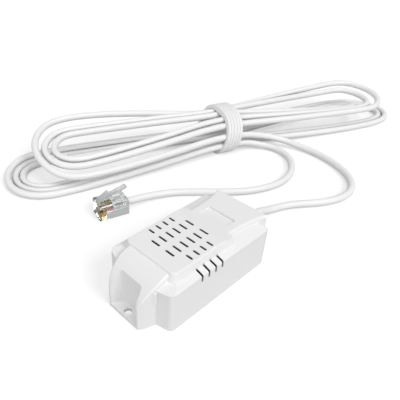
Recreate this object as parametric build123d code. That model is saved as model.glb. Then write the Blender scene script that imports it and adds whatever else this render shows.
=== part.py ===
from build123d import *
import math
import os

os.makedirs("parts", exist_ok=True)

# Frame: millimetres, +Z up, floor at z = 0, +X from the screw ear to the cord end of the housing,
# origin at the middle of the housing's footprint. The cord and the plug lie beyond it.

# Housing
HALF_LENGTH = 26.83
HALF_WIDTH = 13.75
HEIGHT = 18.2
FRONT_END = -HALF_LENGTH
SHOULDER_Z = HEIGHT - 3.5
ROOF_RISE = 0.287
WALL = 1.8
LEDGE = 0.9
PLATE_T = 1.6
PLATE_GAP = 0.1
BOX_FRONT = FRONT_END + 4.53
FRONT_CORNER_X = FRONT_END + 6.73
FRONT_CORNER_R = 1.8
INNER_CORNER_R = 0.3
REAR_CORNER_R = 4.5
EDGE_R = 0.5
SKIN = 0.1

# Side profile of the box: its front and its rear fall away from the roof
FRONT_FALL = (
    (BOX_FRONT, SHOULDER_Z - 1.1), (FRONT_CORNER_X, SHOULDER_Z - 0.1), (FRONT_END + 10.2, SHOULDER_Z + 0.5),
)
REAR_FALL = ((HALF_LENGTH - 3.9, SHOULDER_Z + 1.1), (HALF_LENGTH, SHOULDER_Z - 2.3))

# Raised top: a grille panel and a spine; each pair is a place and how far the top has dropped there
TOP_FALL = ((HALF_LENGTH - 22.0, 0.0), (HALF_LENGTH - 16.4, 0.8), (HALF_LENGTH, 1.1))
TOP_BEND_R = 10.0
PANEL_FRONT = FRONT_END + 10.33
PANEL_REAR = HALF_LENGTH - 17.23
PANEL_HALF = HALF_WIDTH - 3.25
PANEL_DEEP = 4.0
PANEL_CORNER_R = 1.6
DRAFT = 14.0
SPINE_HALF = (
    (HALF_LENGTH - 18.2, 8.6), (HALF_LENGTH - 11.8, 8.8), (HALF_LENGTH - 5.3, 9.5), (HALF_LENGTH, 10.9),
)
SPINE_DEEP = 6.2
SPINE_EDGE_R = 0.9
RECESS_X = (HALF_LENGTH - 16.0, HALF_LENGTH - 10.1)
RECESS_HALF = 5.6
RECESS_DEEP = (0.25, 0.8)
RECESS_R = 0.8

# Screw ear: its top by place and height, its half width by place, both run on past the front end
EAR_TOP = (
    (FRONT_END + 10.8, HEIGHT - 0.65), (FRONT_END + 8.3, HEIGHT - 1.25), (FRONT_END + 6.3, HEIGHT - 2.1),
    (FRONT_END + 4.3, HEIGHT - 3.4), (FRONT_END + 2.3, HEIGHT - 5.3), (FRONT_END + 0.8, HEIGHT - 7.3),
    (FRONT_END, HEIGHT - 9.3), (FRONT_END - 1.2, HEIGHT - 13.5),
)
EAR_HALF = (
    (FRONT_END + 10.8, 8.6), (FRONT_END + 5.3, 8.5), (FRONT_END + 3.3, 8.05), (FRONT_END + 1.3, 7.3),
    (FRONT_END, 6.5), (FRONT_END - 1.2, 5.7),
)
EAR_EDGE_R = 0.7
POCKET_BACK = FRONT_END + 3.63
POCKET_SIDE = ((POCKET_BACK, 4.7), (FRONT_END + 2.1, 5.25), (FRONT_END - 1.2, 6.0))
POCKET_R = 1.3
EAR_FLOOR = 1.2
SCREW_X = FRONT_END + 1.93
SCREW_R = 1.3
WEB = (0.8, 0.7)
WEB_Z = (9.2, SHOULDER_Z - 1.4)

# Grille: each row is its place across, its slot length and its columns
SLOT_W = 0.8
SLOT_PITCH = 2.977
SLOT_X0 = PANEL_FRONT + 5.59
SLOT_DEEP = 4.0
INNER_ROW = (3.06, 3.7, range(6))
OUTER_ROW = (8.1, 2.7, range(1, 5))
SIDE_SLOT_IN = HALF_WIDTH - 2.75
SIDE_SLOT_Z = SHOULDER_Z - 2.5
SIDE_SLOT_R = SLOT_W * 0.45

# Inside
POST_R = 1.6
POST_X = 13.0
POST_Y = 7.0
BOARD = (2 * HALF_LENGTH - 21.66, 19.0, 1.6)
BOARD_X = -2.0
BOARD_Z = 4.2
CHIP_D = 5.2
CHIP_H = 4.0
CHIP_FLAT = 0.6
CHIP_LIFT = 2.4
CHIP_X = BOARD_X - 6
LEG = (0.45, 0.5)
LEG_PITCH = 1.27
CAPACITOR = (2.0, 3.2, 1.2)
RESISTOR = (1.25, 2.0, 0.6)
SMALL_PARTS = (BOARD_X + 1, 3.0)
STUB_IN_X = HALF_LENGTH - 9.33
WIRE_D = 0.62
WIRE_PITCH = 3.0
WIRE_GAP = 0.08
WIRE_PAD_X = STUB_IN_X - 9.0
WIRE_STRAIGHT = 1.6
WIRE_FALL = 3.4
WIRE_LIFT = (1.4, 1.2)
WIRE_BEND = (1.2, 1.2, 0.8)
BAND_X = HALF_LENGTH - 8.13
BAND_W = 2.4
BAND_T = 1.0
BAND_HEAD = (2.6, 1.6)
SADDLE_X = HALF_LENGTH - 5.33
SADDLE = (3.0, 5.0)

# Cord
CORD_D = 3.0
EXIT_Z = 7.4
FLOOR_Z = CORD_D / 2

# Hank, in its own axes: u along the hank, v across it towards the far side
HANK_CENTRE = (78.5, 53.0)
HANK_ANGLE = -20.7
TURNS = 3
PITCH = 3.55
WAIST_HALF = 11.0
TIE_T = 1.8
TIE_W = 11.0
TIE_GAP = 0.2
TIE_IN_R = 3.6
TIE_RIB = 0.35
TIE_RIBS = 5
TIE_GROOVE = 0.6
LOW_WAIST_Z = TIE_T + CORD_D / 2
WAIST_RISE = 7.4
WAIST_TUCK = (1.5, 0.0, 0.0)
LEFT_END = 103.0
LEFT_END_HIGH = 91.0
RIGHT_END = 108.0
RIGHT_END_HIGH = 98.0
END_HALF = 17.5
END_STEP = 3.9
LEFT_RISE = (14.5, 0.32)
RIGHT_RISE = (11.5, 0.15)

# Plug, in its own axes: x from the nose to the cord, z up
PLUG_NOSE = (-2.4, 45.9)
PLUG_ANGLE = -16.3
PLUG = (12.3, 7.65, 6.6)
PLUG_CORD_Z = 3.3
MOUTH = 6.0
CONTACT_PITCH = 1.02
CONTACT_T = 0.35
CONTACT_W = 2.2
CONTACT_X = 2.2
CONTACT_FOOT = 0.6
CORE_D = 0.88
CORE_END = 1.9
CORE_LENGTH = PLUG[0] - MOUTH - CORE_END
CORE_X = CORE_END + CORE_LENGTH / 2
BAR = (2.8, 3.2, 1.3)
BAR_BACK = 3.4
BAR_GAP = 0.1
HINGE_X = 0.95
HINGE_Z = 6.05
HINGE_R = 0.4
HINGE_GAP = 0.06
BODY_GAP = 0.35
LATCH_HALF = 1.6
LATCH_T = 0.7
LATCH_SLOPE = 17.0
LATCH_END = 12.6


def mirrored(points):
    """Close a half outline of (x, half width) points to both sides of the x axis."""
    return list(points) + [(x, -y) for x, y in reversed(points)]


def prism(plane, points, depth, both=False):
    """Extrude a closed outline from a plane."""
    outline = make_face(plane * Polyline(*points, close=True))
    return extrude(outline, amount=depth, dir=plane.z_dir, both=both)


def put(shape, name):
    """Write one piece under its node name."""
    shape.label = name
    export_step(shape, f"parts/{name}.step")
    print(name, round(shape.volume, 2))


def cord_tube(points, diameter, label):
    """Sweep a round cord along hand chosen points with the widest bends that fit."""
    vectors = [Vector(*point) for point in points]
    radii = []
    for before, here, after in zip(vectors, vectors[1:], vectors[2:]):
        turn = (here - before).get_angle(after - here)
        shorter = min((here - before).length, (after - here).length)
        radii.append(0.45 * shorter / math.tan(math.radians(turn) / 2))
    print(label, "radii", [round(radius, 1) for radius in radii])
    path = FilletPolyline(*points, radius=radii)
    start = Plane(origin=path @ 0, z_dir=path % 0)
    tube = sweep(start * Circle(diameter / 2), path=path)
    area = math.pi * diameter ** 2 / 4
    print(label, "length", round(path.length, 1), "fill", round(tube.volume / (area * path.length), 4))
    return tube, path


def spline_form(points, depth):
    """Extrude upwards the outline whose sides are smooth curves through (x, half width) points."""
    near = [(x, -y) for x, y in reversed(points)]
    outline = make_face([
        Spline(*points), Line(points[-1], near[0]), Spline(*near), Line(near[-1], points[0]),
    ])
    return extrude(outline, depth)


# Cover: plan, cross section and side profile meet in the box, the raised top and the ear join it
def box_plan(inset):
    """The box's footprint drawn in by a wall: a bowed front and two wide rear corners."""
    rear = HALF_LENGTH - inset
    half = HALF_WIDTH - inset
    front = FRONT_CORNER_X + inset
    outline = make_face([
        ThreePointArc((front, -half), (BOX_FRONT + inset, 0), (front, half)),
        Polyline((front, half), (rear, half), (rear, -half), (front, -half)),
    ])
    middle = (front + rear) / 2
    front_corners = [vertex for vertex in outline.vertices() if vertex.X < middle]
    outline = fillet(front_corners, max(FRONT_CORNER_R - inset, INNER_CORNER_R))
    rear_corners = [vertex for vertex in outline.vertices() if vertex.X > rear - SKIN]
    outline = fillet(rear_corners, REAR_CORNER_R - inset)
    return extrude(outline, HEIGHT)


def box_form(inset, drop):
    """The box with its sloping roof, drawn in by a wall and lowered by a roof thickness."""
    shoulder = SHOULDER_Z - drop
    roof_mid = shoulder + ROOF_RISE * HALF_WIDTH
    face = make_face(Polyline(
        (-HALF_WIDTH, 0), (HALF_WIDTH, 0), (HALF_WIDTH, shoulder), (0, roof_mid), (-HALF_WIDTH, shoulder),
        close=True))
    face = fillet([vertex for vertex in face.vertices() if SKIN < vertex.Y < roof_mid - SKIN], EDGE_R)
    section = extrude(Plane.YZ * face, amount=2 * HALF_LENGTH, both=True)
    rear = [(x, z - drop) for x, z in reversed(REAR_FALL)]
    front = [(x, z - drop) for x, z in reversed(FRONT_FALL)]
    bend = [(TOP_FALL[1][0], HEIGHT - TOP_FALL[1][1] - SKIN - drop), (TOP_FALL[0][0], HEIGHT - SKIN - drop),
            (PANEL_FRONT, HEIGHT - SKIN - drop)]
    side = prism(
        Plane.XZ, [(FRONT_END, 0), (HALF_LENGTH, 0)] + rear + bend + front + [(FRONT_END, front[-1][1])],
        HALF_WIDTH, both=True)
    return box_plan(inset) & section & side


def top_height(x):
    """Height of the raised top at a place along the housing."""
    for (start, before), (end, after) in zip(TOP_FALL, TOP_FALL[1:]):
        if start <= x <= end:
            return HEIGHT - before - (after - before) * (x - start) / (end - start)
    return HEIGHT


def top_slope(drop):
    """Everything below the flat and then gently falling top surface."""
    falling = [(x, HEIGHT - fall - drop) for x, fall in reversed(TOP_FALL)]
    face = make_face(Polyline(
        (FRONT_END, 0), (HALF_LENGTH, 0), *falling, (FRONT_END, HEIGHT - drop), close=True))
    bends = [vertex for vertex in face.vertices() if FRONT_END + SKIN < vertex.X < HALF_LENGTH - SKIN]
    face = fillet(bends, TOP_BEND_R)
    return extrude(Plane.XZ * face, amount=HALF_WIDTH, both=True)


def raised_top():
    """The grille panel and the narrower spine behind it, with drafted sides and a soft edge."""
    panel_plan = fillet(Rectangle(PANEL_REAR - PANEL_FRONT, 2 * PANEL_HALF).vertices(), PANEL_CORNER_R)
    panel_plan = Pos((PANEL_REAR + PANEL_FRONT) / 2, 0, HEIGHT) * panel_plan
    panel = extrude(panel_plan, amount=PANEL_DEEP, dir=(0, 0, -1), taper=-DRAFT)
    panel = fillet(panel.faces().sort_by(Axis.Z)[-1].edges(), EDGE_R)
    base = HEIGHT - SPINE_DEEP
    spine = Pos(0, 0, base) * spline_form(SPINE_HALF, SPINE_DEEP) & top_slope(0)
    inner_half = min(half for x, half in SPINE_HALF) - SKIN
    sides = [edge for edge in spine.edges()
             if abs(edge.center().Y) > inner_half and edge.center().Z > base + SPINE_DEEP / 2
             and edge.length > SPINE_DEEP / 2]
    spine = fillet(sides, SPINE_EDGE_R)
    return panel & top_slope(0), spine & box_plan(0)


def ear_form():
    """The screw ear: its plan, its falling profile and its soft upper edges."""
    root, tip = EAR_TOP[0], EAR_TOP[-1]
    profile = make_face([Spline(*EAR_TOP), Polyline(tip, (tip[0], 0), (root[0], 0), root)])
    ear = spline_form(EAR_HALF, HEIGHT) & extrude(Plane.XZ * profile, amount=HALF_WIDTH, both=True)
    crests = [edge for edge in ear.edges()
              if abs(edge.center().Y) > POCKET_SIDE[0][1] and tip[0] < edge.center().X < root[0] - WALL
              and edge.center().Z > tip[1]]
    ear = fillet(crests, EAR_EDGE_R)
    behind = Pos(FRONT_END, 0, 0) * Box(
        HALF_LENGTH, 2 * HALF_WIDTH, HEIGHT, align=(Align.MIN, Align.CENTER, Align.MIN))
    return ear & behind


def corner_webs():
    """The two upright webs in the corners between the ear and the front of the box."""
    length, width = WEB
    root = EAR_HALF[1][1] - SKIN
    start = BOX_FRONT + length
    web = prism(
        Plane.XY.offset(WEB_Z[0]), [(start, root), (start - length, root), (start, root + width)],
        WEB_Z[1] - WEB_Z[0])
    return web + mirror(web, Plane.XZ)


def slot_cut(x, y, length):
    """One upright slot with round ends through the top."""
    outline = Rot(0, 0, 90) * SlotOverall(length, SLOT_W)
    return Pos(x, y, HEIGHT - SLOT_DEEP) * extrude(outline, 2 * SLOT_DEEP)


def side_slot_cut(x, side):
    """One slot down the side wall and in over the shoulder."""
    reach = HALF_WIDTH + WALL - SIDE_SLOT_IN
    blade = Box(SLOT_W, reach, HEIGHT - SIDE_SLOT_Z, align=(Align.CENTER, Align.CENTER, Align.MIN))
    blade = fillet(blade.edges().filter_by(Axis.Y).group_by(Axis.Z)[0], SIDE_SLOT_R)
    return Pos(x, side * (SIDE_SLOT_IN + reach / 2), SIDE_SLOT_Z) * blade


def recess_cut():
    """The shallow wedge in the top whose floor falls towards the rear."""
    front, rear = RECESS_X
    wedge = prism(
        Plane.XZ, [(front, top_height(front) - RECESS_DEEP[0]), (rear, top_height(rear) - RECESS_DEEP[1]),
                   (rear, HEIGHT + WALL), (front, HEIGHT + WALL)], RECESS_HALF, both=True)
    return fillet(wedge.edges().filter_by(Axis.Z), RECESS_R)


def pocket_cut():
    """The open pocket for the screw and its driver."""
    outline = make_face(Polyline(*mirrored(POCKET_SIDE), close=True))
    outline = fillet([vertex for vertex in outline.vertices() if vertex.X > POCKET_BACK - SKIN], POCKET_R)
    return Pos(0, 0, EAR_FLOOR) * extrude(outline, HEIGHT)


def front_cover():
    """The one piece cover: box, raised top, ear, then the pocket, slots, recess and hollow."""
    panel, spine = raised_top()
    cover = box_form(0, 0) + panel + spine + ear_form() + corner_webs()
    cover = cover - (box_form(WALL, WALL) + hollow_top()) - seat_form(LEDGE, PLATE_T)
    hole = Pos(SCREW_X, 0, 0) * Cylinder(SCREW_R, 4 * EAR_FLOOR)
    cover = cover - pocket_cut() - hole - recess_cut()
    for row_y, length, columns in (INNER_ROW, OUTER_ROW):
        for column in columns:
            for side in (-1, 1):
                cover = cover - slot_cut(SLOT_X0 + SLOT_PITCH * column, side * row_y, length)
    for column in OUTER_ROW[2]:
        for side in (-1, 1):
            cover = cover - side_slot_cut(SLOT_X0 + SLOT_PITCH * column, side)
    exit_hole = Pos(HALF_LENGTH, 0, EXIT_Z) * Rot(0, 90, 0) * Cylinder(CORD_D / 2, 3 * WALL)
    return cover - exit_hole


def hollow_top():
    """The hollow below the raised top."""
    half = PANEL_HALF - WALL
    narrow = SPINE_HALF[0][1] - WALL
    floor = Plane.XY.offset(PLATE_T)
    room = prism(floor, mirrored([(PANEL_FRONT + WALL, half), (PANEL_REAR - WALL, half)]), HEIGHT)
    rear = prism(floor, mirrored([(0, narrow), (HALF_LENGTH - 2 * WALL, narrow)]), HEIGHT)
    return (room + rear) & top_slope(WALL)


def seat_form(inset, height):
    """The plan of the box drawn in by an inset, up to a height."""
    return box_form(inset, 0) & Pos(0, 0, height / 2) * Box(4 * HALF_LENGTH, 4 * HALF_WIDTH, height)


def back_plate():
    """The plate that closes the box from below, with four posts for the board and two snap ribs."""
    plate = seat_form(LEDGE + PLATE_GAP, PLATE_T)
    for side_x in (-1, 1):
        for side_y in (-1, 1):
            post = Cylinder(POST_R, BOARD_Z - PLATE_T, align=(Align.CENTER, Align.CENTER, Align.MIN))
            plate = plate + Pos(BOARD_X + side_x * POST_X, side_y * POST_Y, PLATE_T) * post
    saddle = Box(*SADDLE, EXIT_Z - PLATE_T, align=(Align.CENTER, Align.CENTER, Align.MIN))
    saddle = Pos(SADDLE_X, 0, PLATE_T) * saddle
    trough = Pos(SADDLE_X, 0, EXIT_Z) * Rot(0, 90, 0) * Cylinder(CORD_D / 2, 2 * SADDLE[0])
    return plate + (saddle - trough)


def inner_wire(index):
    """One conductor from the end of the jacket down onto its pad on the board."""
    pad_y = (index - 1.5) * WIRE_PITCH
    near_y = (index - 1.5) * (WIRE_D + WIRE_GAP)
    board_top = BOARD_Z + BOARD[2]
    points = [
        (STUB_IN_X, near_y, EXIT_Z), (STUB_IN_X - WIRE_STRAIGHT, near_y, EXIT_Z),
        (WIRE_PAD_X + WIRE_FALL, pad_y, EXIT_Z + WIRE_LIFT[0]), (WIRE_PAD_X, pad_y, EXIT_Z + WIRE_LIFT[1]),
        (WIRE_PAD_X, pad_y, board_top),
    ]
    path = FilletPolyline(*points, radius=WIRE_BEND)
    start = Plane(origin=path @ 0, z_dir=path % 0)
    return sweep(start * Circle(WIRE_D / 2), path=path)


# Hank: a two layer spiral wound from the middle of the cord, so both ends leave beside the tie
def to_floor(u, v, z):
    """Turn hank axes into the housing's frame."""
    angle = math.radians(HANK_ANGLE)
    x = HANK_CENTRE[0] + u * math.cos(angle) - v * math.sin(angle)
    y = HANK_CENTRE[1] + u * math.sin(angle) + v * math.cos(angle)
    return (x, y, z)


def waist_height(high, turn):
    """Height of a run inside the tie: the outer runs of both layers are tucked in towards the middle."""
    if high:
        return LOW_WAIST_Z + WAIST_RISE - WAIST_TUCK[turn]
    return LOW_WAIST_Z + WAIST_TUCK[turn]


def layer_points(high):
    """The corner points of one layer, from the tie's near side in to the last far run."""
    left = LEFT_END_HIGH if high else LEFT_END
    right = RIGHT_END_HIGH if high else RIGHT_END

    def end_z(rise, v):
        return rise[0] + rise[1] * v if high else FLOOR_Z

    points = [(WAIST_HALF - 2, -(TURNS - 0.5) * PITCH, waist_height(high, 0))]
    for turn in range(TURNS):
        waist_z = waist_height(high, turn)
        waist = (TURNS - 0.5 - turn) * PITCH
        half = END_HALF - turn * END_STEP
        back = turn * END_STEP
        if turn:
            points.append((WAIST_HALF, -waist, waist_z))
        points.append((-WAIST_HALF, -waist, waist_z))
        points.append((-left + back, -half, end_z(LEFT_RISE, -half)))
        points.append((-left + back, half, end_z(LEFT_RISE, half)))
        points.append((-WAIST_HALF, waist, waist_z))
        points.append((WAIST_HALF, waist, waist_z))
        if turn < TURNS - 1:
            points.append((right - back, half, end_z(RIGHT_RISE, half)))
            points.append((right - back, -half + END_STEP, end_z(RIGHT_RISE, -half)))
    return points


def hank_points():
    """All corner points of the hank, from the lead's side to the tail's side."""
    inner = END_HALF - TURNS * END_STEP - 0.5
    reach = RIGHT_END_HIGH - TURNS * END_STEP
    high = layer_points(True)
    low = layer_points(False)
    bight = [(reach, -inner, RIGHT_RISE[0] - 1.0), (reach, inner, FLOOR_Z + 2.0)]
    return [to_floor(*point) for point in high + bight + low[::-1]]


LEAD = [
    (HALF_LENGTH, 0.0, EXIT_Z), (35.5, 0.0, EXIT_Z), (46.5, 2.6, FLOOR_Z), (59.0, -1.8, FLOOR_Z),
    (70.0, -9.4, FLOOR_Z), (80.0, -14.0, FLOOR_Z), (90.0, -13.4, FLOOR_Z), (98.5, -6.5, FLOOR_Z),
    (103.5, 4.5, FLOOR_Z), (107.5, 18.0, FLOOR_Z), (110.5, 28.0, FLOOR_Z + 0.3),
]
PLUG_X = math.cos(math.radians(PLUG_ANGLE))
PLUG_Y = math.sin(math.radians(PLUG_ANGLE))
PLUG_BACK = (PLUG_NOSE[0] + PLUG[0] * PLUG_X, PLUG_NOSE[1] + PLUG[0] * PLUG_Y, PLUG_CORD_Z)
TAIL = [
    (95.5, 30.0, FLOOR_Z), (93.0, 20.5, FLOOR_Z), (85.0, 13.0, FLOOR_Z), (75.0, 10.0, FLOOR_Z),
    (66.0, 10.4, FLOOR_Z), (55.5, 14.6, FLOOR_Z), (47.0, 21.0, FLOOR_Z), (39.0, 28.6, FLOOR_Z),
    (31.0, 35.6, FLOOR_Z), (23.0, 39.2, FLOOR_Z + 0.6),
    (PLUG_BACK[0] + 4.0 * PLUG_X, PLUG_BACK[1] + 4.0 * PLUG_Y, PLUG_CORD_Z),
    (PLUG_BACK[0] - MOUTH * PLUG_X, PLUG_BACK[1] - MOUTH * PLUG_Y, PLUG_CORD_Z),
]


def tie_ring():
    """The tie: a ribbed band round the waist of the bundle."""
    width = (2 * TURNS - 1) * PITCH + CORD_D + 2 * TIE_GAP
    height = WAIST_RISE + CORD_D + 2 * TIE_GAP
    wall = TIE_T - TIE_GAP
    inside = RectangleRounded(width, height, TIE_IN_R)
    outside = RectangleRounded(width + 2 * wall, height + 2 * wall, TIE_IN_R + wall)
    deep = wall - TIE_RIB
    groove_ring = outside - RectangleRounded(width + 2 * deep, height + 2 * deep, TIE_IN_R + deep)
    band = extrude(outside - inside, TIE_W / 2, both=True)
    step = TIE_W / TIE_RIBS
    for index in range(1, TIE_RIBS):
        band = band - Pos(0, 0, step * index - TIE_W / 2) * extrude(groove_ring, TIE_GROOVE / 2, both=True)
    angle = math.radians(HANK_ANGLE)
    centre = to_floor(0, 0, LOW_WAIST_Z + WAIST_RISE / 2)
    across = (-math.sin(angle), math.cos(angle), 0)
    along = (math.cos(angle), math.sin(angle), 0)
    return Plane(origin=centre, x_dir=across, z_dir=along) * band


# Plug: four contacts, a sprung latch on top and a wedge that holds the jacket
def plug_body():
    """The clear body with its cord mouth, wire channels, contact slots and hinge groove."""
    length, width, height = PLUG
    body = Pos(length / 2, 0, height / 2) * Box(length, width, height)
    body = chamfer(body.edges().filter_by(Axis.Z).group_by(Axis.X)[0], 0.35)
    body = body - Pos(length - MOUTH / 2, 0, PLUG_CORD_Z) * Rot(0, 90, 0) * Cylinder(CORD_D / 2, MOUTH)
    window = Pos(length - BAR_BACK, 0, PLUG_CORD_Z + CORD_D / 2) * Box(
        BAR[0] + 2 * BAR_GAP, BAR[1] + 2 * BAR_GAP, height, align=(Align.CENTER, Align.CENTER, Align.MIN))
    body = body - window
    for index in range(4):
        y = (index - 1.5) * CONTACT_PITCH
        body = body - Pos(CORE_X, y, PLUG_CORD_Z) * Rot(0, 90, 0) * Cylinder(CORE_D / 2, CORE_LENGTH)
        body = body - Pos(CONTACT_X, y, (PLUG_CORD_Z - CORE_D / 2) / 2) * Box(
            CONTACT_W, CONTACT_T, PLUG_CORD_Z - CORE_D / 2)
    groove = Pos(HINGE_X, 0, HINGE_Z) * Rot(90, 0, 0) * Cylinder(HINGE_R + HINGE_GAP, 2 * LATCH_HALF + 0.6)
    mouth = Pos(HINGE_X + 0.25, 0, height - 0.1) * Box(2.2, 2 * LATCH_HALF + 0.6, 0.7)
    return body - groove - mouth


def plug_latch():
    """The sprung latch: hinge bar, root and the rising tongue with its shoulders."""
    bar = Pos(HINGE_X, 0, HINGE_Z) * Rot(90, 0, 0) * Cylinder(HINGE_R, 2 * LATCH_HALF)
    slope = math.tan(math.radians(LATCH_SLOPE))
    foot = PLUG[2] + BODY_GAP
    tip = foot + (LATCH_END - HINGE_X) * slope
    profile = [
        (HINGE_X - 0.3, HINGE_Z + 0.1), (HINGE_X + 0.25, HINGE_Z + 0.1), (HINGE_X + 0.45, foot + 0.3),
        (LATCH_END, tip), (LATCH_END, tip + LATCH_T), (6.0, foot + LATCH_T + 5.0 * slope),
        (5.2, foot + LATCH_T + 1.1 + 4.2 * slope), (4.0, foot + LATCH_T + 0.7 + 3.0 * slope),
        (HINGE_X - 0.1, foot + LATCH_T),
    ]
    wide = prism(Plane.XZ, profile, LATCH_HALF, both=True)
    narrow = Pos(9.6, 0, 9.5) * (Box(7.2, 2 * LATCH_HALF + 1, 8) - Box(7.2, 2 * LATCH_HALF - 0.9, 8))
    return wide - narrow + bar


def plug_contacts():
    """Four upright contact blades in their slots."""
    top = PLUG_CORD_Z - CORE_D / 2
    blade = Box(CONTACT_W, CONTACT_T, top - CONTACT_FOOT, align=(Align.CENTER, Align.CENTER, Align.MAX))
    places = [Pos(CONTACT_X, (index - 1.5) * CONTACT_PITCH, top) for index in range(4)]
    return Compound(children=[place * blade for place in places])


def plug_wire(index):
    """One conductor from the jacket to the far end of its channel."""
    y = (index - 1.5) * CONTACT_PITCH
    return Pos(CORE_X, y, PLUG_CORD_Z) * Rot(0, 90, 0) * Cylinder(CORE_D / 2, CORE_LENGTH)


def strain_bar():
    """The wedge in the window that presses the jacket."""
    bar = Box(*BAR, align=(Align.CENTER, Align.CENTER, Align.MIN))
    return Pos(PLUG[0] - BAR_BACK, 0, PLUG_CORD_Z + CORD_D / 2) * bar


def place_plug(shape):
    """Move a piece from the plug's own axes to its place on the floor."""
    return Pos(PLUG_NOSE[0], PLUG_NOSE[1], 0) * Rot(0, 0, PLUG_ANGLE) * shape


put(front_cover(), "front_cover")
put(back_plate(), "back_plate")
board = Pos(BOARD_X, 0, BOARD_Z + BOARD[2] / 2) * Box(*BOARD)
put(board, "circuit_board")
board_top = BOARD_Z + BOARD[2]
flat = Pos(0, CHIP_FLAT) * Rectangle(2 * CHIP_D, CHIP_D - 2 * CHIP_FLAT)
put(Pos(CHIP_X, 0, board_top + CHIP_LIFT) * extrude(Circle(CHIP_D / 2) & flat, CHIP_H), "sensing_chip")
legs = [Pos(CHIP_X + step * LEG_PITCH, 0, board_top + CHIP_LIFT / 2) * Box(*LEG, CHIP_LIFT)
        for step in (-1, 0, 1)]
put(Compound(children=legs), "sensing_chip_legs")
small_x, small_y = SMALL_PARTS
put(Pos(small_x, small_y, board_top + CAPACITOR[2] / 2) * Box(*CAPACITOR), "chip_capacitor")
put(Pos(small_x, -small_y, board_top + RESISTOR[2] / 2) * Box(*RESISTOR), "pull_up_resistor")
for number, tint in enumerate(("red", "green", "yellow", "black")):
    put(inner_wire(number), f"inner_wire_{tint}")
stub = Pos((STUB_IN_X + HALF_LENGTH) / 2, 0, EXIT_Z) * Rot(0, 90, 0) * Cylinder(
    CORD_D / 2, HALF_LENGTH - STUB_IN_X)
put(stub, "cord_stub")
band = Cylinder(CORD_D / 2 + BAND_T, BAND_W) - Cylinder(CORD_D / 2, BAND_W)
band = band + Pos(0, CORD_D / 2 + BAND_T, 0) * Box(*BAND_HEAD, BAND_W)
put(Pos(BAND_X, 0, EXIT_Z) * Rot(0, 90, 0) * Rot(0, 0, 90) * band, "cord_anchor_tie")

corners = hank_points()
hank, hank_path = cord_tube(corners, CORD_D, "hank")
put(hank, "cord_hank")
lead_join = corners[0]
edge = -(TURNS - 0.5) * PITCH
lead_points = LEAD + [
    to_floor(WAIST_HALF + 16, edge - CORD_D, LOW_WAIST_Z + 2.0),
    to_floor(WAIST_HALF + 4, edge, waist_height(True, 0)), lead_join,
]
lead, lead_path = cord_tube(lead_points, CORD_D, "lead")
put(lead, "cord_lead")
tail_join = corners[-1]
tail_points = [tail_join, to_floor(WAIST_HALF + 1.5, edge, waist_height(False, 0))] + TAIL
tail, tail_path = cord_tube(tail_points, CORD_D, "tail")
put(tail, "cord_tail")
put(tie_ring(), "hank_tie")

steps = 4000
samples = [hank_path @ (index / steps) for index in range(steps + 1)]
spacing = hank_path.length / steps
apart = max(1, round(4 * CORD_D / spacing))
least = min((samples[i] - samples[j]).length for i in range(0, steps, 4) for j in range(i + apart, steps, 4))
print("hank least gap", round(least - CORD_D, 2))
print("whole cord", round(lead_path.length + hank_path.length + tail_path.length + HALF_LENGTH - STUB_IN_X))

put(place_plug(plug_body()), "plug_body")
put(place_plug(plug_latch()), "plug_latch")
put(place_plug(plug_contacts()), "plug_contacts")
for number, tint in enumerate(("red", "green", "yellow", "black")):
    put(place_plug(plug_wire(number)), f"plug_wire_{tint}")
put(place_plug(strain_bar()), "plug_strain_bar")
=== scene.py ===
"""A temperature sensor on a tied cord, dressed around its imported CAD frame.

Sizes in the classes are in millimetres and angles in degrees. Materials measure in metres.
"""

from __future__ import annotations

import logging
import math
from dataclasses import dataclass, field
from enum import Enum
from typing import Sequence

import bpy
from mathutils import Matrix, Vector

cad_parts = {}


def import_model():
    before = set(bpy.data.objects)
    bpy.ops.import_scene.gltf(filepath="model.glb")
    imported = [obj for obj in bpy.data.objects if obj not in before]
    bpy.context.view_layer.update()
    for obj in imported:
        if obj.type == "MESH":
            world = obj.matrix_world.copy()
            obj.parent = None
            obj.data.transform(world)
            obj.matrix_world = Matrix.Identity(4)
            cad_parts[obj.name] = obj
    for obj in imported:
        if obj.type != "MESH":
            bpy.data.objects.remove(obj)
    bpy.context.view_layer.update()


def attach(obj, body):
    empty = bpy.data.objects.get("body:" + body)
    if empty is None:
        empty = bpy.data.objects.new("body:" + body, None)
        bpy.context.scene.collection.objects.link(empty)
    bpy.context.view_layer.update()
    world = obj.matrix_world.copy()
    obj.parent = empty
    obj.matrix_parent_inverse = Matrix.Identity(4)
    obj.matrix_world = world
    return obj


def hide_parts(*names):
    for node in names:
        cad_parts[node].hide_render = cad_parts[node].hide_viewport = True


LOG = logging.getLogger("sensor")
MM = 0.001

Spot = tuple[float, float]
Point = tuple[float, float, float]
Colour = tuple[float, float, float]


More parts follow.
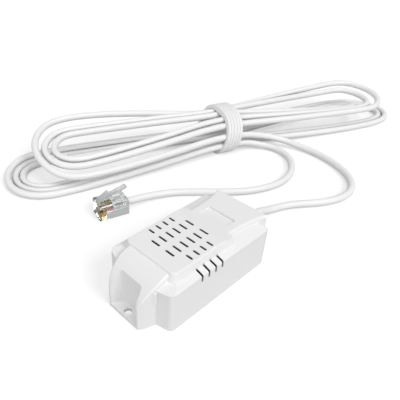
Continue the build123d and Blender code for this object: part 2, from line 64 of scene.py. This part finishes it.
class Shader:
    """A shader socket with the maths that the finishes need."""

    def __init__(self, tree: "Tree", socket: bpy.types.NodeSocket) -> None:
        """Hold a socket of a tree."""
        self.tree = tree
        self.socket = socket

    def _math(self, operation: str, *values: "Shader | float") -> "Shader":
        """Add one Math node for an operation on numbers."""
        return self.tree.node("ShaderNodeMath", {"operation": operation}, dict(enumerate(values)))

    def __add__(self, other: "Shader | float") -> "Shader":
        """Add a value."""
        return self._math("ADD", self, other)

    def __radd__(self, other: float) -> "Shader":
        """Add to a number."""
        return self._math("ADD", other, self)

    def __sub__(self, other: "Shader | float") -> "Shader":
        """Take a value away."""
        return self._math("SUBTRACT", self, other)

    def __rsub__(self, other: float) -> "Shader":
        """Take this from a number."""
        return self._math("SUBTRACT", other, self)

    def __mul__(self, other: "Shader | float") -> "Shader":
        """Multiply by a value."""
        return self._math("MULTIPLY", self, other)

    def __rmul__(self, other: float) -> "Shader":
        """Multiply a number."""
        return self._math("MULTIPLY", other, self)

    def __abs__(self) -> "Shader":
        """Drop the sign."""
        return self._math("ABSOLUTE", self)

    def lower(self, other: "Shader | float") -> "Shader":
        """Take the lower of two values."""
        return self._math("MINIMUM", self, other)

    def higher(self, other: "Shader | float") -> "Shader":
        """Take the higher of two values."""
        return self._math("MAXIMUM", self, other)

    def step(self, low: float, high: float) -> "Shader":
        """Rise smoothly from 0 to 1 between two values.

        Args:
            low: Where the rise starts.
            high: Where the rise ends.

        Returns:
            The share of the rise that is done.
        """
        return self.tree.node(
            "ShaderNodeMapRange", {"interpolation_type": "SMOOTHSTEP"},
            {"Value": self, "From Min": low, "From Max": high})


class Tree:
    """The node tree of one material or world."""

    def __init__(self, owner: bpy.types.Material | bpy.types.World) -> None:
        """Start from an empty tree."""
        owner.use_nodes = True
        self.nodes = owner.node_tree.nodes
        self.links = owner.node_tree.links
        self.nodes.clear()

    def node(
        self,
        kind: str,
        settings: dict[str, object] | None = None,
        inputs: dict[int | str, object] | None = None,
        output: int | str = 0,
    ) -> Shader:
        """Add any node.

        Args:
            kind: The node's type.
            settings: Properties that are set first.
            inputs: Values or links by socket name or number.
            output: The socket that the result stands for.

        Returns:
            The chosen output socket.
        """
        made = self.nodes.new(kind)
        for key, value in (settings or {}).items():
            setattr(made, key, value)
        for key, value in (inputs or {}).items():
            if isinstance(value, Shader):
                self.links.new(value.socket, made.inputs[key])
            else:
                made.inputs[key].default_value = value
        return Shader(self, made.outputs[output])

    def output(self, surface: Shader, kind: str = "ShaderNodeOutputMaterial") -> None:
        """Send a surface to the tree's output."""
        made = self.nodes.new(kind)
        self.links.new(surface.socket, made.inputs["Surface"])


@dataclass(frozen=True)
class GrilleShade:
    """The slotted part of the housing, whose inside gets painted shade: a dark colour stands in for the shade in its
    deep slots.
    """

    middle_x: float = -3.47
    half_x: float = 8.8
    row_half: float = 9.7
    top: float = 18.2
    side: float = 13.75
    roof: float = 18.65
    slope: float = 0.287
    fade: tuple[float, float] = (0.05, 0.5)
    # The dark colour painted on the inside: painted shade for the deep slots.
    painted_shade: Colour = (0.015, 0.015, 0.015)

    def inside(self, tree: Tree, place: Shader) -> Shader:
        """Show where the painted shade goes: where a point lies under the grille's skin.

        Args:
            tree: The material's tree.
            place: The point in the housing's own axes.

        Returns:
            0 on the outer skin and 1 below it.
        """
        scaled = tree.node("ShaderNodeVectorMath", {"operation": "SCALE"}, {0: place, "Scale": 1 / MM})
        x, y, z = (tree.node("ShaderNodeSeparateXYZ", {}, {0: scaled}, output=axis) for axis in range(3))
        out = abs(y)
        under_roof = (self.roof - out * self.slope - z).lower(self.side - out)
        depth = under_roof.higher(self.row_half - out).lower(self.top - z)
        return depth.lower(self.half_x - abs(x - self.middle_x)).step(*self.fade)


@dataclass(frozen=True)
class Surface:
    """What every finish has: a name, a colour and a roughness."""

    name: str
    colour: Colour
    rough: float

    def build(self) -> bpy.types.Material:
        """Make the material.

        Returns:
            The finished material.
        """
        material = bpy.data.materials.new(self.name)
        tree = Tree(material)
        tree.output(self.paint(tree, tree.node("ShaderNodeTexCoord", output="Object")))
        return material

    def paint(self, tree: Tree, place: Shader) -> Shader:
        """Make the surface shader; each kind of finish has its own."""
        raise NotImplementedError


@dataclass(frozen=True)
class Plastic(Surface):
    """A moulded plastic with a faint grain, a slow change of colour, painted shade in its folds and, on the housing,
    painted shade inside its grille.
    """

    rough: float = 0.4
    grain: float = 0.04
    grain_scale: float = 2600.0
    grain_depth: float = 0.00005
    shift: float = 0.012
    shift_scale: float = 60.0
    rough_swing: float = 0.08
    coat: float = 0.0
    # Painted shade in folds: its strength, how far the occlusion looks, the occlusion range that it spans and its
    # dark colour.
    fold_shade: float = 0.0
    reach: float = 0.003
    fold_shade_edges: tuple[float, float] = (0.25, 0.95)
    fold_shade_colour: Colour = (0.25, 0.25, 0.26)
    # The housing's grille, whose inside gets painted shade.
    grille_shade: GrilleShade | None = None

    def paint(self, tree: Tree, place: Shader) -> Shader:
        """Make the surface shader.

        Args:
            tree: The material's tree.
            place: The point in the object's own axes.

        Returns:
            The surface.
        """
        slow = tree.node("ShaderNodeTexNoise", {}, {"Vector": place, "Scale": self.shift_scale, "Detail": 2.0})
        fine = tree.node("ShaderNodeTexNoise", {}, {"Vector": place, "Scale": self.grain_scale, "Detail": 3.0})
        tint = self._mix(tree, slow, tuple(max(0.0, channel - self.shift) for channel in self.colour), self.colour)
        # Painted shade: the colour darkens where occlusion finds the surface closed in, in creases, between ribs and
        # between touching strands.
        if self.fold_shade:
            open_air = tree.node(
                "ShaderNodeAmbientOcclusion", {"samples": 8, "only_local": True}, {"Distance": self.reach}, "AO")
            tint = self._mix(tree, (1 - open_air.step(*self.fold_shade_edges)) * self.fold_shade, tint, self.fold_shade_colour)
        # Painted shade: the grille's inside is painted dark, standing in for the shade in the deep slots.
        if self.grille_shade:
            tint = self._mix(tree, self.grille_shade.inside(tree, place), tint, self.grille_shade.painted_shade)
        bump = tree.node(
            "ShaderNodeBump", {}, {"Height": fine, "Strength": self.grain, "Distance": self.grain_depth})
        return tree.node(
            "ShaderNodeBsdfPrincipled", {},
            {"Base Color": tint, "Roughness": (slow - 0.5) * self.rough_swing + self.rough, "Normal": bump,
             "Coat Weight": self.coat})

    @staticmethod
    def _mix(tree: Tree, amount: Shader, first: Shader | Colour, second: Shader | Colour) -> Shader:
        """Mix two colours.

        Args:
            tree: The material's tree.
            amount: The share of the second colour.
            first: The colour at 0.
            second: The colour at 1.

        Returns:
            The mixed colour.
        """
        ends = {6: first, 7: second}
        inputs = {key: value if isinstance(value, Shader) else (*value, 1.0) for key, value in ends.items()}
        return tree.node("ShaderNodeMix", {"data_type": "RGBA"}, {0: amount, **inputs}, output=2)


@dataclass(frozen=True)
class Clear(Surface):
    """The clear plastic of the plug."""

    colour: Colour = (0.93, 0.94, 0.94)
    rough: float = 0.06
    ior: float = 1.5
    clear: float = 1.0
    ripple: float = 0.12
    ripple_scale: float = 700.0
    ripple_depth: float = 0.0001

    def paint(self, tree: Tree, place: Shader) -> Shader:
        """Make the surface shader.

        Args:
            tree: The material's tree.
            place: The point in the object's own axes.

        Returns:
            The surface.
        """
        fine = tree.node("ShaderNodeTexNoise", {}, {"Vector": place, "Scale": self.ripple_scale, "Detail": 2.0})
        bump = tree.node(
            "ShaderNodeBump", {}, {"Height": fine, "Strength": self.ripple, "Distance": self.ripple_depth})
        return tree.node(
            "ShaderNodeBsdfPrincipled", {},
            {"Base Color": (*self.colour, 1.0), "Roughness": self.rough, "IOR": self.ior,
             "Transmission Weight": self.clear, "Normal": bump})


@dataclass(frozen=True)
class Metal(Surface):
    """A plated metal with fine scratches."""

    rough: float = 0.25
    scratch_scale: float = 1800.0
    rough_swing: float = 0.1

    def paint(self, tree: Tree, place: Shader) -> Shader:
        """Make the surface shader.

        Args:
            tree: The material's tree.
            place: The point in the object's own axes.

        Returns:
            The surface.
        """
        fine = tree.node("ShaderNodeTexNoise", {}, {"Vector": place, "Scale": self.scratch_scale, "Detail": 2.0})
        return tree.node(
            "ShaderNodeBsdfPrincipled", {},
            {"Base Color": (*self.colour, 1.0), "Roughness": fine * self.rough_swing + self.rough, "Metallic": 1.0})


class Finish(Enum):
    """The finishes of the sensor."""

    # The cover carries painted shade inside its grille.
    COVER = Plastic("cover_white", (0.86, 0.86, 0.865), rough=0.42, grille_shade=GrilleShade())
    PLATE = Plastic("plate_white", (0.85, 0.85, 0.855), rough=0.45)
    BOARD = Plastic("board_green", (0.03, 0.17, 0.07), rough=0.35, coat=0.3)
    CHIP = Plastic("chip_black", (0.025, 0.025, 0.027), rough=0.5)
    CERAMIC = Plastic("capacitor_tan", (0.5, 0.38, 0.24), rough=0.5)
    # The jacket and the tie carry painted shade in their folds, between strands and between ribs.
    JACKET = Plastic("jacket_white", (0.87, 0.87, 0.875), grain=0.06, grain_scale=900.0, fold_shade=0.5, reach=0.002)
    TIE = Plastic("tie_white", (0.84, 0.84, 0.845), rough=0.45, fold_shade=0.7, reach=0.0012)
    RED = Plastic("core_red", (0.9, 0.03, 0.01), rough=0.3)
    GREEN = Plastic("core_green", (0.03, 0.55, 0.06), rough=0.3)
    YELLOW = Plastic("core_yellow", (0.95, 0.78, 0.1), rough=0.3)
    BLACK = Plastic("core_black", (0.03, 0.03, 0.03), rough=0.35)
    CLEAR = Clear("clear_plug")
    LATCH = Clear("clear_latch", (0.78, 0.79, 0.8), rough=0.1, clear=0.7)
    WEDGE = Clear("clear_wedge", (0.82, 0.83, 0.83), rough=0.2, clear=0.3)
    TINNED = Metal("tinned_leg", (0.75, 0.75, 0.72), 0.3)
    GOLD = Metal("gold_contact", (0.86, 0.62, 0.22), 0.18)


CAD_FINISHES: dict[str, Finish] = {
    "front_cover": Finish.COVER,
    "back_plate": Finish.PLATE,
    "circuit_board": Finish.BOARD,
    "sensing_chip": Finish.CHIP,
    "sensing_chip_legs": Finish.TINNED,
    "chip_capacitor": Finish.CERAMIC,
    "pull_up_resistor": Finish.CHIP,
    "inner_wire_red": Finish.RED,
    "inner_wire_green": Finish.GREEN,
    "inner_wire_yellow": Finish.YELLOW,
    "inner_wire_black": Finish.BLACK,
    "cord_stub": Finish.JACKET,
    "cord_anchor_tie": Finish.TIE,
    "plug_body": Finish.CLEAR,
    "plug_latch": Finish.LATCH,
    "plug_contacts": Finish.GOLD,
    "plug_wire_red": Finish.RED,
    "plug_wire_green": Finish.GREEN,
    "plug_wire_yellow": Finish.YELLOW,
    "plug_wire_black": Finish.BLACK,
    "plug_strain_bar": Finish.WEDGE,
}


@dataclass
class Wardrobe:
    """The materials, each made once."""

    made: dict[Finish, bpy.types.Material] = field(default_factory=dict)

    def get(self, finish: Finish) -> bpy.types.Material:
        """Return the material of a finish, made on first use.

        Args:
            finish: The finish that is asked for.

        Returns:
            Its material.
        """
        if finish not in self.made:
            self.made[finish] = finish.value.build()
        return self.made[finish]

    def dress_cad(self) -> None:
        """Give every carried-over CAD node its finish."""
        for name, finish in CAD_FINISHES.items():
            target = bpy.data.objects[name]
            target.data.materials.clear()
            target.data.materials.append(self.get(finish))
            LOG.info("dressed %s in %s", name, finish.value.name)


@dataclass(frozen=True)
class Lamp:
    """A far lamp with a soft edge."""

    name: str
    towards: Point
    energy: float
    angle: float


@dataclass
class Studio:
    """The camera, the floor and the lights."""

    eye: Point = (-80.8, -70.7, 105.2)
    yaw: float = 47.65
    pitch: float = 35.34
    focal_px: float = 441.37
    frame_px: float = 400.0
    axis_px: Spot = (149.08, 202.62)
    sensor: float = 36.0
    clip: float = 0.001
    lamps: tuple[Lamp, ...] = (
        Lamp("key", (0.05, -0.72, 0.69), 1.25, 25.0),
        Lamp("fill", (-0.93, -0.2, 0.32), 0.55, 60.0),
        Lamp("top", (-0.1, -0.2, 1.0), 0.45, 20.0),
    )
    sky: float = 0.5
    floor_half: float = 3.0
    floor_drop: float = 0.00005
    floor_grey: float = 0.62
    floor_glow: float = 0.44

    def camera(self) -> None:
        """Set up the camera that took the photograph."""
        data = bpy.data.cameras.new("camera")
        data.sensor_width = self.sensor
        data.lens = self.focal_px * self.sensor / self.frame_px
        middle = self.frame_px / 2
        data.shift_x = (middle - self.axis_px[0]) / self.frame_px
        data.shift_y = (self.axis_px[1] - middle) / self.frame_px
        data.clip_start = self.clip
        camera = bpy.data.objects.new("camera", data)
        camera.location = Vector(self.eye) * MM
        camera.rotation_euler = (math.radians(90 - self.pitch), 0.0, math.radians(self.yaw - 90))
        bpy.context.collection.objects.link(camera)
        bpy.context.scene.camera = camera

    def floor(self) -> None:
        """Lay a plain white floor that keeps the shadows."""
        mesh = bpy.data.meshes.new("floor")
        half = self.floor_half
        mesh.from_pydata([(-half, -half, 0), (half, -half, 0), (half, half, 0), (-half, half, 0)], [], [(0, 1, 2, 3)])
        floor = bpy.data.objects.new("floor", mesh)
        bpy.context.collection.objects.link(floor)
        floor.location.z = -self.floor_drop
        material = bpy.data.materials.new("floor_white")
        tree = Tree(material)
        diffuse = tree.node("ShaderNodeBsdfDiffuse", {}, {"Color": (*[self.floor_grey] * 3, 1.0)})
        seen = tree.node("ShaderNodeLightPath", output="Is Camera Ray")
        through = tree.node("ShaderNodeLightPath", output="Is Transmission Ray")
        strength = seen.higher(through) * self.floor_glow
        glow = tree.node("ShaderNodeEmission", {}, {"Color": (1, 1, 1, 1), "Strength": strength})
        both = tree.node("ShaderNodeAddShader", {}, {0: diffuse, 1: glow})
        tree.output(both)
        mesh.materials.append(material)

    def lights(self) -> None:
        """Light the scene from above and from the near side."""
        world = bpy.data.worlds.new("world")
        bpy.context.scene.world = world
        tree = Tree(world)
        path = tree.node("ShaderNodeLightPath", output="Is Camera Ray")
        dim = tree.node("ShaderNodeBackground", {}, {"Color": (1, 1, 1, 1), "Strength": self.sky})
        white = tree.node("ShaderNodeBackground", {}, {"Color": (1, 1, 1, 1), "Strength": 1.0})
        mixed = tree.node("ShaderNodeMixShader", {}, {0: path, 1: dim, 2: white})
        tree.output(mixed, "ShaderNodeOutputWorld")
        for lamp in self.lamps:
            data = bpy.data.lights.new(lamp.name, "SUN")
            data.energy = lamp.energy
            data.angle = math.radians(lamp.angle)
            light = bpy.data.objects.new(lamp.name, data)
            light.rotation_euler = Vector(lamp.towards).to_track_quat("Z", "Y").to_euler()
            bpy.context.collection.objects.link(light)

    def build(self) -> None:
        """Set up everything round the sensor."""
        self.camera()
        self.floor()
        self.lights()
        bpy.context.scene.view_settings.view_transform = "Standard"


@dataclass(frozen=True)
class Bend:
    """One end of one turn of the coil, in the coil's own axes and in millimetres."""

    reach: float
    near: float
    far: float
    near_z: float
    end_z: float
    far_z: float
    slant: float = 0.0
    fold: float = 0.586
    run: float = 1.1
    round_off: float = 0.414
    fan: float = 0.4
    fan_lift: float = 0.45
    climb: tuple[float, float] = (0.7, 0.3)

    def points(self, side: int, near: Point, far: Point) -> list[Point]:
        """Lead the cord from the tie's near side round this end to its far side.

        Args:
            side: 1 for the right end and -1 for the left one.
            near: Where the cord leaves the tie on the near side.
            far: Where it comes back on the far side.

        Returns:
            The control points between the two.
        """
        half, mid = (self.far - self.near) / 2, (self.far + self.near) / 2

        def at(pull: float, across: float, z: float) -> Point:
            """Place a point by its distance from the end and its share of the width."""
            return (side * (self.reach - pull * half - self.slant * (across + 1) / 2), mid + across * half, z)

        shoulders = at(self.fold + self.run, -1, self.near_z), at(self.fold + self.run, 1, self.far_z)
        fans = [
            (tie[0] + (wide[0] - tie[0]) * self.fan, (tie[1] + wide[1]) / 2,
             tie[2] + (wide[2] - tie[2]) * self.fan_lift)
            for tie, wide in zip((near, far), shoulders)
        ]
        return [
            fans[0], shoulders[0], at(self.fold, -1, self.near_z),
            at(0, -self.round_off, self.near_z + (self.end_z - self.near_z) * self.climb[0]),
            at(0, self.round_off, self.end_z + (self.far_z - self.end_z) * self.climb[1]),
            at(self.fold, 1, self.far_z), shoulders[1], fans[1],
        ]


@dataclass
class Coil:
    """The tied coil: three raised turns over three turns on the floor, each of another size."""

    centre: Spot = (78.5, 53.0)
    angle: float = -20.7
    waist: float = 9.0
    near: tuple[float, ...] = (-8.4, -5.2, -2.0)
    far: tuple[float, ...] = (9.6, 6.4, 3.2)
    raised_near_z: tuple[float, ...] = (8.4, 12.6, 14.4)
    raised_far_z: tuple[float, ...] = (14.0, 15.4, 15.0)
    low_near_z: tuple[float, ...] = (4.0, 3.3, 3.3)
    low_far_z: tuple[float, ...] = (4.4, 3.3, 3.3)
    raised_left: tuple[Bend, ...] = (
        Bend(89.2, -16.5, 21.0, 7.5, 14.0, 17.5, slant=1.0, fold=0.5),
        Bend(84.5, -12.8, 12.6, 10.5, 12.5, 15.5, slant=-1.0),
        Bend(81.0, -9.8, 9.7, 12.0, 12.8, 14.5),
    )
    raised_right: tuple[Bend, ...] = (
        Bend(98.0, -10.7, 17.0, 10.6, 13.0, 15.0, slant=1.0),
        Bend(92.0, -7.4, 13.2, 10.3, 11.0, 12.5, slant=1.0),
        Bend(83.0, -4.3, 9.4, 9.8, 7.0, 3.7),
    )
    low_left: tuple[Bend, ...] = (
        Bend(102.5, -16.0, 17.0, 1.5, 2.4, 4.1),
        Bend(99.2, -12.8, 15.2, 1.5, 1.5, 1.5),
        Bend(96.0, -9.6, 12.0, 1.5, 1.5, 1.5),
    )
    low_right: tuple[Bend, ...] = (
        Bend(108.2, -11.4, 20.0, 1.5, 1.5, 1.5, slant=3.0, fold=0.7, run=1.8),
        Bend(104.4, -8.0, 16.2, 1.5, 1.5, 1.5, slant=3.0, fold=0.7, run=1.9),
    )

    def to_floor(self, u: float, v: float, z: float) -> Point:
        """Turn a point in the coil's own axes into the frame's.

        Args:
            u: The distance along the coil, to the right of the tie's middle.
            v: The distance across the coil, towards its far side.
            z: The height above the floor.

        Returns:
            The point in the frame.
        """
        angle = math.radians(self.angle)
        x = self.centre[0] + u * math.cos(angle) - v * math.sin(angle)
        y = self.centre[1] + u * math.sin(angle) + v * math.cos(angle)
        return (x, y, z)

    def tie_point(self, side: int, turn: int, raised: bool, far: bool) -> Point:
        """Place a strand at one mouth of the tie, or in its middle.

        Args:
            side: 1 for the right mouth, -1 for the left one and 0 for the middle.
            turn: The turn's number.
            raised: Whether the turn belongs to the raised layer.
            far: Whether the strand runs on the far side.

        Returns:
            The point in the coil's own axes.
        """
        heights = (self.low_near_z, self.low_far_z), (self.raised_near_z, self.raised_far_z)
        return (side * self.waist, (self.far if far else self.near)[turn], heights[raised][far][turn])

    def strands(self) -> list[Spot]:
        """List where the strands cross the tie's middle.

        Returns:
            Places across and above the floor.
        """
        return [
            self.tie_point(0, turn, raised, far)[1:]
            for turn in range(len(self.near)) for raised in (False, True) for far in (False, True)
        ]

    def layer(self, raised: bool) -> list[Point]:
        """List one layer's points, from its outermost near strand to its innermost far one.

        Args:
            raised: Whether it is the raised layer.

        Returns:
            The control points in the coil's own axes.
        """
        left = self.raised_left if raised else self.low_left
        right = self.raised_right if raised else self.low_right
        points = []
        for turn, bend in enumerate(left):
            near, far = (self.tie_point(-1, turn, raised, on_far) for on_far in (False, True))
            back = self.tie_point(1, turn, raised, True)
            points += [self.tie_point(1, turn, raised, False), near, *bend.points(-1, near, far), far, back]
            if turn < len(left) - 1:
                points += right[turn].points(1, self.tie_point(1, turn + 1, raised, False), back)[::-1]
        return points

    def points(self) -> list[Point]:
        """List the coil's control points, from the lead's side to the tail's side.

        Returns:
            The control points in the frame.
        """
        last = len(self.near) - 1
        ends = self.tie_point(1, last, True, True), self.tie_point(1, last, False, True)
        crossing = self.raised_right[last].points(1, *ends)
        return [self.to_floor(*point) for point in self.layer(True) + crossing + self.layer(False)[::-1]]


@dataclass
class Cord:
    """The whole cord: lead, coil and tail on one spline."""

    diameter: float = 3.0
    exit: Point = (26.83, 0.0, 7.4)
    lead: tuple[Point, ...] = (
        (37.5, 0.0, 7.4), (48.5, 2.0, 1.5), (59.0, -1.8, 1.5), (69.0, -9.6, 1.5), (79.0, -14.0, 1.5),
        (88.5, -13.4, 1.5), (96.6, -7.8, 1.5), (102.0, 1.0, 1.5), (104.9, 11.5, 1.5), (104.9, 21.0, 1.8),
        (101.8, 30.0, 3.4), (95.0, 36.6, 5.8),
    )
    tail: tuple[Point, ...] = (
        (95.0, 31.0, 1.5), (93.0, 21.0, 1.5), (85.0, 13.5, 1.5), (75.0, 10.0, 1.5), (66.0, 10.4, 1.5),
        (55.5, 14.6, 1.5), (47.0, 21.0, 1.5), (39.0, 28.6, 1.5), (31.0, 35.6, 1.5), (23.0, 39.2, 2.1),
    )
    plug_nose: Spot = (-2.4, 45.9)
    plug_angle: float = -16.3
    plug_length: float = 12.3
    plug_cord_z: float = 3.3
    mouth: float = 6.0
    straight: float = 4.0
    tail_start: Point = (5.0, -0.8, 3.0)
    smooth: int = 5
    steps: int = 10
    on_it: tuple[str, ...] = (
        "plug_body", "plug_latch", "plug_contacts", "plug_strain_bar", "plug_wire_red", "plug_wire_green",
        "plug_wire_yellow", "plug_wire_black",
    )

    def route(self, coil: Coil) -> list[Point]:
        """List the control points of the whole cord in millimetres.

        Args:
            coil: The coil between the lead and the tail.

        Returns:
            The points from the housing to the plug.
        """
        turn = math.radians(self.plug_angle)
        ahead = Vector((math.cos(turn), math.sin(turn), 0))
        back = Vector((*self.plug_nose, self.plug_cord_z)) + self.plug_length * ahead
        past, aside, height = self.tail_start
        start = coil.to_floor(coil.waist + past, coil.near[0] + aside, height)
        plug = [tuple(back + self.straight * ahead), tuple(back - self.mouth * ahead)]
        return [self.exit, *self.lead, *coil.points(), start, *self.tail, *plug]

    def build(self, wardrobe: Wardrobe, coil: Coil, tie: bpy.types.Object) -> None:
        """Args:
            wardrobe: The materials.
            coil: The coil's layout.
            tie: The band round the coil; not used.
        """
        curve = bpy.data.curves.new("cord", "CURVE")
        curve.dimensions = "3D"
        curve.bevel_depth = self.diameter / 2 * MM
        curve.bevel_resolution = self.smooth
        curve.resolution_u = self.steps
        spline = curve.splines.new("NURBS")
        points = self.route(coil)
        spline.points.add(len(points) - 1)
        for target, point in zip(spline.points, points):
            target.co = (*(value * MM for value in point), 1.0)
        spline.order_u = 3
        spline.use_endpoint_u = True
        cord = bpy.data.objects.new("cord", curve)
        bpy.context.collection.objects.link(cord)
        curve.materials.append(wardrobe.get(Finish.JACKET))
        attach(cord, "sensor")
        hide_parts("cord_lead", "cord_hank", "cord_tail")


@dataclass
class Tie:
    """The ribbed band that holds the coil: it rounds off the strands' outline and leans over."""

    width: float = 7.8
    wall: float = 1.1
    clearance: float = 0.15
    tight: float = 0.9
    ribs: int = 5
    rib_height: float = 0.28
    rib_steps: int = 8
    rib_power: int = 4
    lip: float = 0.3
    sharp: float = 60.0
    steps: int = 120
    shift: float = 0.9
    lean: float = 0.36
    slew: float = -0.12

    def profile(self, inside: float) -> list[Spot]:
        """List the band's section: the ribbed outside, then the two corners of the inside.

        Args:
            inside: The distance from the strands' centres to the inside.

        Returns:
            Places along the cord with distances from the strands' centres.
        """
        rows = self.ribs * self.rib_steps
        outer = []
        for row in range(rows + 1):
            share = abs(2 * (row / self.rib_steps % 1) - 1)
            height = inside + self.wall - self.rib_height * share ** self.rib_power
            outer.append((self.width * (row / rows - 0.5), height))
        edge = self.width / 2 - self.lip
        return [*outer, (edge, inside), (-edge, inside)]

    def hug(self, strands: Sequence[Spot], angle: float, away: float, soft: bool) -> Spot:
        """Place a point of the band round the strands.

        Args:
            strands: Where the strands cross the band.
            angle: The direction in which the band faces there.
            away: The distance from the strands' centres.
            soft: Whether the outline is rounded off between the strands.

        Returns:
            The point's place across and above the floor.
        """
        out = (math.cos(angle), math.sin(angle))
        reach = [v * out[0] + z * out[1] for v, z in strands]
        most = max(reach)
        if not soft:
            held = strands[reach.index(most)]
            return (held[0] + away * out[0], held[1] + away * out[1])
        weights = [math.exp(self.tight * (value - most)) for value in reach]
        total = sum(weights)
        held = [sum(w * strand[axis] for w, strand in zip(weights, strands)) / total for axis in (0, 1)]
        push = most + math.log(total) / self.tight - held[0] * out[0] - held[1] * out[1] + away
        return (held[0] + push * out[0], held[1] + push * out[1])

    def build(self, wardrobe: Wardrobe, coil: Coil, radius: float) -> bpy.types.Object:
        """Wrap the band round the coil.

        Args:
            wardrobe: The materials.
            coil: The coil's layout.
            radius: The cord's radius.

        Returns:
            The finished band.
        """
        strands = coil.strands()
        profile = self.profile(radius + self.clearance)
        middle = sum(z for _, z in strands) / len(strands)
        points = []
        for step in range(self.steps):
            angle = 2 * math.pi * step / self.steps
            for row, (along, away) in enumerate(profile):
                v, z = self.hug(strands, angle, away, row < len(profile) - 2)
                along += self.shift + self.lean * (z - middle) + self.slew * v
                point = coil.to_floor(along, v, max(z, 0.0))
                points.append(tuple(value * MM for value in point))
        count = len(profile)
        faces = []
        for step in range(self.steps):
            here, there = step * count, (step + 1) % self.steps * count
            for row in range(count):
                after = (row + 1) % count
                faces.append((here + row, there + row, there + after, here + after))
        mesh = bpy.data.meshes.new("tie_band")
        mesh.from_pydata(points, [], faces)
        mesh.shade_smooth()
        mesh.set_sharp_from_angle(angle=math.radians(self.sharp))
        mesh.materials.append(wardrobe.get(Finish.TIE))
        tie = bpy.data.objects.new("tie_band", mesh)
        bpy.context.collection.objects.link(tie)
        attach(tie, "sensor")
        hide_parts("hank_tie")
        LOG.info("tie band with %d ribs", self.ribs)
        return tie


def main() -> None:
    """Build and dress the sensor."""
    logging.basicConfig(level=logging.INFO, format="%(message)s")
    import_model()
    Studio().build()
    wardrobe = Wardrobe()
    coil, cord = Coil(), Cord()
    tie = Tie().build(wardrobe, coil, cord.diameter / 2)
    cord.build(wardrobe, coil, tie)
    wardrobe.dress_cad()


if __name__ == "__main__":
    main()
